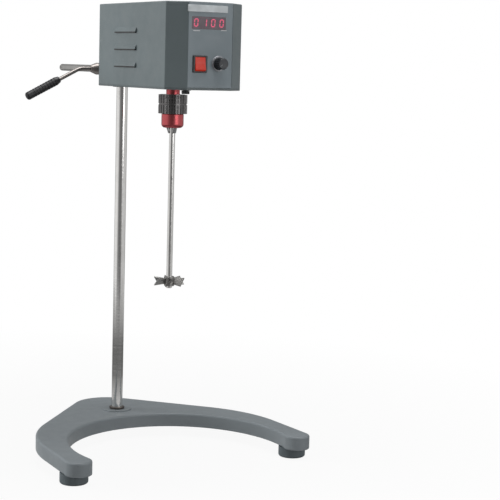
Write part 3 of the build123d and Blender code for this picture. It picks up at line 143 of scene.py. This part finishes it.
class Shader(Graph):
    """A material with a Principled shader and short ways to add texture nodes."""

    def __init__(self, name, color, metallic=0.0, roughness=0.5, **inputs):
        self.material = bpy.data.materials.new(name)
        self.material.use_nodes = True
        super().__init__(self.material.node_tree)
        self.principled = self.nodes["Principled BSDF"]
        self.set("Base Color", (*color, 1.0))
        self.set("Metallic", metallic)
        self.set("Roughness", roughness)
        for key, value in inputs.items():
            self.set(key.replace("_", " "), value)
        self.coordinates = self.nodes.new("ShaderNodeTexCoord").outputs["Object"]
        self.normal = None

    def set(self, name, value):
        self.principled.inputs[name].default_value = value

    def stretch(self, scale):
        mapping = self.nodes.new("ShaderNodeMapping")
        mapping.inputs["Scale"].default_value = scale
        self.links.new(self.coordinates, mapping.inputs["Vector"])
        return mapping.outputs["Vector"]

    def noise(self, scale, detail=3.0, rough=0.5, stretch=(1, 1, 1)):
        node = self.nodes.new("ShaderNodeTexNoise")
        node.inputs["Scale"].default_value = scale
        node.inputs["Detail"].default_value = detail
        node.inputs["Roughness"].default_value = rough
        self.links.new(self.stretch(stretch), node.inputs["Vector"])
        return node.outputs["Fac"]

    def vary_roughness(self, value, low, high):
        self.links.new(self.ramp(value, low, high), self.principled.inputs["Roughness"])

    def vary_color(self, value, dark, light):
        mixed = self.mixed_color(self.ramp(value, 0.0, 1.0), (*dark, 1.0), (*light, 1.0))
        self.links.new(mixed, self.principled.inputs["Base Color"])

    def bump(self, value, strength, distance):
        node = self.nodes.new("ShaderNodeBump")
        node.inputs["Strength"].default_value = strength
        node.inputs["Distance"].default_value = distance
        self.links.new(value, node.inputs["Height"])
        if self.normal is not None:
            self.links.new(self.normal, node.inputs["Normal"])
        self.normal = node.outputs["Normal"]
        self.links.new(self.normal, self.principled.inputs["Normal"])


def shade(color, factor):
    return tuple(min(1.0, c * factor) for c in color)


def powder_coat(name, color, roughness=0.42, grain=1500.0, depth=0.00012):
    """Fine-textured baked paint: orange peel, a little soft mottling and dust."""
    s = Shader(name, color, roughness=roughness, Specular_IOR_Level=0.5)
    s.vary_color(s.noise(9.0, 4.0, 0.6), shade(color, 0.93), shade(color, 1.07))
    s.vary_roughness(s.noise(60.0, 5.0, 0.6), roughness - 0.07, roughness + 0.10)
    s.bump(s.noise(grain, 2.0, 0.5), 0.35, depth)
    s.bump(s.noise(grain / 5, 2.0, 0.5), 0.12, depth * 2)
    return s.material


def moulded(name, color, roughness=0.5, grain=2600.0, depth=0.00006, **inputs):
    """Moulded plastic or rubber with a spark-eroded grain."""
    s = Shader(name, color, roughness=roughness, **inputs)
    s.vary_color(s.noise(30.0, 4.0, 0.6), shade(color, 0.88), shade(color, 1.14))
    s.vary_roughness(s.noise(140.0, 4.0, 0.6), roughness - 0.08, roughness + 0.1)
    s.bump(s.noise(grain, 2.0, 0.6), 0.4, depth)
    return s.material


def ground_steel(name, color, roughness, stretch, scratch=0.25, **inputs):
    """Turned or ground metal: fine lines along one direction, uneven polish, faint stains."""
    s = Shader(name, color, metallic=1.0, roughness=roughness, **inputs)
    s.vary_color(s.noise(25.0, 5.0, 0.65), shade(color, 0.90), shade(color, 1.06))
    s.vary_roughness(s.noise(400.0, 4.0, 0.7, stretch), max(0.04, roughness - 0.07), roughness + 0.08)
    s.bump(s.noise(900.0, 3.0, 0.7, stretch), scratch, 0.00004)
    return s.material


HOUSING = (0.175, 0.212, 0.222)
BASE_GREY = (0.235, 0.263, 0.280)
PANEL = (0.240, 0.292, 0.322)

looks = {
    "base_casting": powder_coat("base_paint", BASE_GREY, 0.46, 1100.0, 0.00016),
    "feet": moulded("foot_rubber", (0.125, 0.150, 0.162), 0.62),
    "head_cover": powder_coat("housing_paint", HOUSING),
    "floor_plate": powder_coat("floor_paint", shade(HOUSING, 0.75)),
    "back_cover": powder_coat("back_paint", shade(HOUSING, 0.95)),
    "front_panel": powder_coat("panel_paint", PANEL, 0.36, 2400.0, 0.00005),
    "boss_head": powder_coat("clamp_paint", (0.17, 0.175, 0.18), 0.40, 800.0, 0.0002),
    "lever_grip": moulded("grip_plastic", (0.018, 0.018, 0.020), 0.42),
    "switch_body": moulded("switch_black", (0.030, 0.030, 0.032), 0.38),
    "speed_knob": moulded("knob_plastic", (0.020, 0.024, 0.030), 0.35),
}

# Scale of each kind of scratch along x, y and z; a small one draws it out
rings = (0.05, 0.05, 1.0)
even = (1.0, 1.0, 1.0)
along_bar = (1.0, 0.06, 1.0)
across = (0.1, 1.0, 1.0)

rod_steel = ground_steel("rod_steel", (0.80, 0.79, 0.775), 0.13, rings, 0.10)
bar_steel = ground_steel("bar_steel", (0.40, 0.395, 0.38), 0.32, along_bar, 0.2)
shaft_steel = ground_steel("shaft_steel", (0.74, 0.73, 0.715), 0.18, rings, 0.15)
blade_steel = ground_steel("blade_steel", (0.30, 0.295, 0.285), 0.36, even, 0.3)
fastener = ground_steel("fastener_steel", (0.42, 0.42, 0.41), 0.34, even, 0.3)
lever_steel = ground_steel("lever_steel", (0.31, 0.285, 0.27), 0.34, across, 0.25)
body_steel = ground_steel("body_steel", (0.45, 0.45, 0.45), 0.30, rings, 0.25)
sleeve_alloy = ground_steel("sleeve_black", (0.160, 0.155, 0.155), 0.30, rings, 0.2)
red_alloy = ground_steel("chuck_red", (0.52, 0.105, 0.115), 0.30, rings, 0.2)
plate_silver = moulded("plate_silver", (0.52, 0.555, 0.570), 0.45, 1800.0, 0.00004, Metallic=0.35)
dial_silver = moulded("dial_silver", (0.34, 0.35, 0.37), 0.45, 1800.0, 0.00004, Metallic=0.35)
dark_steel = ground_steel("dark_steel", (0.13, 0.115, 0.105), 0.35, rings, 0.2)
alloy = ground_steel("frame_alloy", (0.55, 0.55, 0.56), 0.36, across, 0.3)
brass = ground_steel("plain_brass", (0.60, 0.45, 0.18), 0.30, even, 0.2)
black_rubber = moulded("black_rubber", (0.022, 0.022, 0.024), 0.6)
natural = moulded("gear_plastic", (0.62, 0.60, 0.52), 0.45)
green = moulded("board_green", (0.02, 0.10, 0.05), 0.4)

# The rocker's emission is a painted glow that brightens the red switch, which is not a lamp
rocker_red = moulded("rocker_red", (0.42, 0.020, 0.010), 0.42, 3000.0, 0.00002,
                     Emission_Color=(1.0, 0.05, 0.015, 1.0), Emission_Strength=0.20)
window_dark = moulded("window_red", (0.130, 0.090, 0.112), 0.34, 3000.0, 0.00001)

nodes_of_look = (
    (rod_steel, ("column_rod",)),
    (bar_steel, ("support_bar",)),
    (shaft_steel, ("stirrer_shaft",)),
    (blade_steel, ("impeller",)),
    (fastener, ("foot_screws", "column_washer", "column_nut", "bar_set_screws", "floor_screws", "back_screws",
                "impeller_screw", "pot_nut", "pot_shaft", "clamp_screw", "motor_can", "motor_cap",
                "motor_rotor")),
    (dark_steel, ("column_ring",)),
    (black_rubber, ("gland_seal", "motor_magnets", "encoder_disc")),
    (lever_steel, ("lever_arm",)),
    (brass, ("clamp_pad", "motor_pinion")),
    (alloy, ("bar_block", "gear_plate")),
    (plate_silver, ("name_plate",)),
    (window_dark, ("display_window",)),
    (green, ("display_module", "control_board")),
    (rocker_red, ("switch_rocker",)),
    (dial_silver, ("dial_ring",)),
    (body_steel, ("gear_pillars", "board_standoffs", "spindle", "bearing_outer_rings", "bearing_inner_rings",
                  "chuck_body", "chuck_jaw_1", "chuck_jaw_2", "chuck_jaw_3")),
    (natural, ("spindle_gear",)),
    (red_alloy, ("chuck_hub", "chuck_collar")),
    (sleeve_alloy, ("chuck_sleeve",)),
    (looks["switch_body"], ("potentiometer", "fuse_holder", "fuse_cap", "cable_gland", "speed_sensor")),
)
for material, names in nodes_of_look:
    for name in names:
        looks[name] = material

for name, material in looks.items():
    slots = nodes[name].material_slots
    if slots:
        for place in slots:
            place.material = material
    else:
        nodes[name].data.materials.append(material)


# Flat marks and strips that the model leaves to this script, with places and sizes in mm

def add_piece(name, mesh, material, body):
    mesh.materials.append(material)
    piece = bpy.data.objects.new(name, mesh)
    bpy.context.scene.collection.objects.link(piece)
    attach(piece, body)


def slab(bm, outline, depth, place):
    """Adds a flat prism: outline points in a plane, place turns (u, v, w) into the row frame."""
    low = [bm.verts.new(place(u, v, 0.0)) for u, v in outline]
    high = [bm.verts.new(place(u, v, depth)) for u, v in outline]
    bm.faces.new(low[::-1])
    bm.faces.new(high)
    count = len(outline)
    for i in range(count):
        j = (i + 1) % count
        bm.faces.new((low[i], low[j], high[j], high[i]))


def rectangle(left, right, bottom, top):
    return [(left, bottom), (right, bottom), (right, top), (left, top)]


def finish_mesh(bm, name):
    """Turns a bmesh into a mesh with its faces turned outwards."""
    bmesh.ops.recalc_face_normals(bm, faces=bm.faces)
    mesh = bpy.data.meshes.new(name)
    bm.to_mesh(mesh)
    bm.free()
    return mesh


def on_panel(u, v, w):
    """A point given in mm from the front panel's face: right, up, and out of the panel."""
    return Vector((u, PANEL_FACE - w, v)) * MM


DIGITS_SHOWN = "0100"
DIGIT_CENTRES = (-21.1, -8.8, 3.3, 15.5)
DIGIT_LEVEL = 590.6
DIGIT_HEIGHT = 10.2
DIGIT_WIDTH = 6.0
DIGIT_SLANT = 0.08
DIGIT_LIFT, DIGIT_THICK = 0.02, 0.06
SEGMENT = 1.25
SEGMENT_GAP = 0.16
SEGMENTS = {"0": "abcdef", "1": "bc"}


def segment_outline(u0, v0, u1, v1):
    """Six-sided bar between two points, mitred at both ends."""
    half = SEGMENT / 2
    du, dv = u1 - u0, v1 - v0
    size = (du * du + dv * dv) ** 0.5
    du, dv = du / size, dv / size
    a = (u0 + du * SEGMENT_GAP, v0 + dv * SEGMENT_GAP)
    b = (u1 - du * SEGMENT_GAP, v1 - dv * SEGMENT_GAP)
    return [
        a,
        (a[0] + du * half - dv * half, a[1] + dv * half + du * half),
        (b[0] - du * half - dv * half, b[1] - dv * half + du * half),
        b,
        (b[0] - du * half + dv * half, b[1] - dv * half - du * half),
        (a[0] + du * half + dv * half, a[1] + dv * half - du * half),
    ][::-1]


def digits():
    """The lit digits on the display window, each made of mitred segments."""
    bm = bmesh.new()
    half_w = (DIGIT_WIDTH - SEGMENT) / 2
    half_h = (DIGIT_HEIGHT - SEGMENT) / 2
    for mark, centre in zip(DIGITS_SHOWN, DIGIT_CENTRES):
        ends = {
            "a": ((-half_w, half_h), (half_w, half_h)),
            "b": ((half_w, half_h), (half_w, 0.0)),
            "c": ((half_w, 0.0), (half_w, -half_h)),
            "d": ((-half_w, -half_h), (half_w, -half_h)),
            "e": ((-half_w, 0.0), (-half_w, -half_h)),
            "f": ((-half_w, half_h), (-half_w, 0.0)),
        }
        for key in SEGMENTS[mark]:
            (u0, v0), (u1, v1) = ends[key]
            outline = segment_outline(u0, v0, u1, v1)
            slanted = [(centre + u + DIGIT_SLANT * v, DIGIT_LEVEL + v) for u, v in outline]
            slab(bm, slanted, DIGIT_THICK, lambda u, v, w: on_panel(u, v, w + DIGIT_LIFT))
    glow = Shader("digit_glow", (0.55, 0.08, 0.14), roughness=0.5,
                  Emission_Color=(1.0, 0.12, 0.24, 1.0), Emission_Strength=0.55)
    add_piece("display_digits", finish_mesh(bm, "display_digits"), glow.material, "head")


digits()

white_print = moulded("white_print", (0.70, 0.71, 0.72), 0.5, 3000.0, 0.00001)
# Black for the printed dial ticks, and also for the painted shade in the louvres' mouths
black_print_and_painted_shade = moulded("black_print_and_painted_shade", (0.02, 0.02, 0.02), 0.5, 3000.0, 0.00001)
pointer_print = moulded("pointer_print", (0.16, 0.17, 0.18), 0.5, 3000.0, 0.00001)

MARKS = ((-25.0, -15.5, 580.4), (15.0, 23.0, 581.8))
MARK_HALF = 0.5
MARK_LIFT, PRINT_THICK = 0.01, 0.05


def panel_marks():
    """Two short printed bars below the display window."""
    bm = bmesh.new()
    for left, right, level in MARKS:
        outline = rectangle(left, right, level - MARK_HALF, level + MARK_HALF)
        slab(bm, outline, PRINT_THICK, lambda u, v, w: on_panel(u, v, w + MARK_LIFT))
    add_piece("panel_marks", finish_mesh(bm, "panel_marks"), white_print, "head")


panel_marks()

# Sizes of the dark strips of painted shade in the louvres' mouths, in mm
MOUTH_SHADE_BELOW, MOUTH_SHADE_ABOVE = 1.4, 0.3
MOUTH_SHADE_SUNK, MOUTH_SHADE_REACH = 0.05, 2.5
MOUTH_SHADE_SHORT = 0.4


def louvre_mouth_shade():
    """Dark strips of painted shade in the mouths of the louvres, on both sides of the cover: they stand for
    the shaded openings under the hoods.
    """
    bm = bmesh.new()
    root = HEAD_WIDTH / 2 - MOUTH_SHADE_SUNK
    half = LOUVRE_LENGTH / 2 - MOUTH_SHADE_SHORT
    for side in (-1, 1):
        for step in range(LOUVRE_COUNT):
            level = HEAD_BOTTOM + LOUVRE_UP + LOUVRE_PITCH * step
            ends = (LOUVRE_MIDDLE - half, LOUVRE_MIDDLE + half)
            outline = rectangle(*ends, level - MOUTH_SHADE_BELOW, level + MOUTH_SHADE_ABOVE)
            slab(bm, outline, MOUTH_SHADE_REACH, lambda u, v, w: Vector((side * (root + w), u, v)) * MM)
    add_piece("louvre_mouth_shade", finish_mesh(bm, "louvre_mouth_shade"), black_print_and_painted_shade, "head")


louvre_mouth_shade()

# The dial's angles in degrees, counted from the right
DIAL_START = 215.0
DIAL_STEP = -26.0
DIAL_COUNT = 11
TICK_INNER, TICK_OUTER, TICK_HALF = 8.5, 9.6, 0.2
TICK_LIFT = 0.99
POINTER_INNER, POINTER_OUTER, POINTER_HALF = 2.0, 6.2, 0.45
POINTER_SUNK, POINTER_THICK = 0.02, 0.025


def spoke(angle, inner, outer, half):
    """Outline of a straight line that points away from the knob's axis."""
    du, dv = cos(radians(angle)), sin(radians(angle))
    corners = rectangle(inner, outer, -half, half)
    return [(KNOB_U + du * along - dv * side, KNOB_V + dv * along + du * side) for along, side in corners]


def knob_pointer():
    """The line on the knob's face."""
    bm = bmesh.new()
    outline = spoke(DIAL_START, POINTER_INNER, POINTER_OUTER, POINTER_HALF)
    slab(bm, outline, POINTER_THICK, lambda u, v, w: on_panel(u, v, w + KNOB_FACE - POINTER_SUNK))
    add_piece("knob_pointer", finish_mesh(bm, "knob_pointer"), pointer_print, "knob")


knob_pointer()


def dial_ticks():
    """The printed ticks around the knob."""
    bm = bmesh.new()
    for step in range(DIAL_COUNT):
        outline = spoke(DIAL_START + DIAL_STEP * step, TICK_INNER, TICK_OUTER, TICK_HALF)
        slab(bm, outline, PRINT_THICK, lambda u, v, w: on_panel(u, v, w + TICK_LIFT))
    add_piece("dial_ticks", finish_mesh(bm, "dial_ticks"), black_print_and_painted_shade, "head")


dial_ticks()


# Light: a large soft lamp on the left rear, one in front, one above

LAMP_TARGET = Vector((0.0, -0.1, 0.35))


def lamp(name, direction, distance, size, level):
    """An area lamp aimed at the object; level is the light that a facing white sheet would get."""
    way = Vector(direction).normalized()
    data = bpy.data.lights.new(name, "AREA")
    data.shape = "SQUARE"
    data.size = size
    data.energy = level * pi * pi * distance * distance
    light = bpy.data.objects.new(name, data)
    bpy.context.scene.collection.objects.link(light)
    light.location = LAMP_TARGET + way * distance
    light.rotation_euler = (-way).to_track_quat("-Z", "Y").to_euler()
    return light


side_lamp = lamp("left_lamp", (-0.80, 0.58, 0.15), 3.0, 1.6, 0.66)
side_lamp.visible_glossy = False
lamp("front_lamp", (0.25, -0.93, 0.22), 3.4, 1.8, 0.21)
lamp("top_lamp", (0.05, -0.1, 1.0), 3.0, 2.2, 0.71)

# Surroundings: white to the camera, light cards in reflections, a low level for all other light

TO_CAMERA = (-0.50, -0.86, 0.0)
TO_LEFT = (-0.86, 0.50, 0.0)
WHITE = (1.0, 1.0, 1.0, 1.0)
CARD_BEHIND = (0.30, 0.30, 0.30)
CARD_AT_CAMERA = (0.18, 0.18, 0.18)
CARD_STOPS = ((0.12, 0.45), (0.22, 0.90), (0.80, 0.85), (0.90, 0.36))
RIGHT_CARD_LEVEL = 0.70
AMBIENT = 0.11


def studio():
    world = bpy.data.worlds.new("studio")
    bpy.context.scene.world = world
    world.use_nodes = True
    g = Graph(world.node_tree)
    back = g.nodes["Background"]
    back.inputs["Color"].default_value = WHITE
    path = g.nodes.new("ShaderNodeLightPath").outputs
    direction = g.nodes.new("ShaderNodeTexCoord").outputs["Generated"]
    towards = g.ramp(g.dot(direction, TO_CAMERA), 0.0, 1.0, -1.0, 1.0)
    cards = g.greys(towards, CARD_BEHIND, CARD_AT_CAMERA, CARD_STOPS)
    aside = g.ramp(g.dot(direction, TO_LEFT), RIGHT_CARD_LEVEL, 1.0, -1.0, 1.0)
    mirrored = g.math("MULTIPLY", path["Is Glossy Ray"], g.math("MULTIPLY", cards, aside))
    seen = g.math("MAXIMUM", path["Is Camera Ray"], mirrored)
    level = g.math("MAXIMUM", seen, path["Is Transmission Ray"])
    g.links.new(g.math("MAXIMUM", level, AMBIENT), back.inputs["Strength"])


studio()


# Floor: plain white, with the object's shadow near it and a darker look in reflections

FLOOR_HALF = 1.15
FLOOR_DROP = 0.0002
FLOOR_GREY = (0.55, 0.55, 0.55)
SHADOW_FADE = (0.25, 0.85)
GLOW_NEAR, GLOW_FAR = 0.93, 1.0
MIRRORED_NEAR = (0.62, 0.62, 0.61)
MIRRORED_FAR = (0.42, 0.42, 0.42)
MIRRORED_STOPS = ((0.22, 0.60), (0.42, 0.13), (0.72, 0.14))


def floor():
    mesh = bpy.data.meshes.new("floor")
    corners = rectangle(-FLOOR_HALF, FLOOR_HALF, -FLOOR_HALF, FLOOR_HALF)
    mesh.from_pydata([(x, y, 0.0) for x, y in corners], [], [(0, 1, 2, 3)])
    piece = bpy.data.objects.new("floor", mesh)
    piece.location.z = -FLOOR_DROP
    bpy.context.scene.collection.objects.link(piece)
    s = Shader("floor_white", FLOOR_GREY, roughness=0.9)
    path = s.nodes.new("ShaderNodeLightPath").outputs
    reach = s.nodes.new("ShaderNodeVectorMath")
    reach.operation = "LENGTH"
    s.links.new(s.coordinates, reach.inputs[0])
    away = reach.outputs["Value"]
    share = s.ramp(away, GLOW_NEAR, GLOW_FAR, *SHADOW_FADE)
    either = s.math("MAXIMUM", path["Is Camera Ray"], path["Is Glossy Ray"])
    glow = s.nodes.new("ShaderNodeEmission")
    mirrored = s.greys(away, MIRRORED_NEAR, MIRRORED_FAR, MIRRORED_STOPS)
    s.links.new(s.mixed_color(path["Is Glossy Ray"], WHITE, mirrored), glow.inputs["Color"])
    mix = s.nodes.new("ShaderNodeMixShader")
    s.links.new(s.math("MULTIPLY", either, share), mix.inputs["Fac"])
    s.links.new(s.principled.outputs["BSDF"], mix.inputs[1])
    s.links.new(glow.outputs[0], mix.inputs[2])
    s.links.new(mix.outputs[0], s.nodes["Material Output"].inputs["Surface"])
    mesh.materials.append(s.material)


floor()

bpy.context.scene.view_settings.view_transform = "Standard"
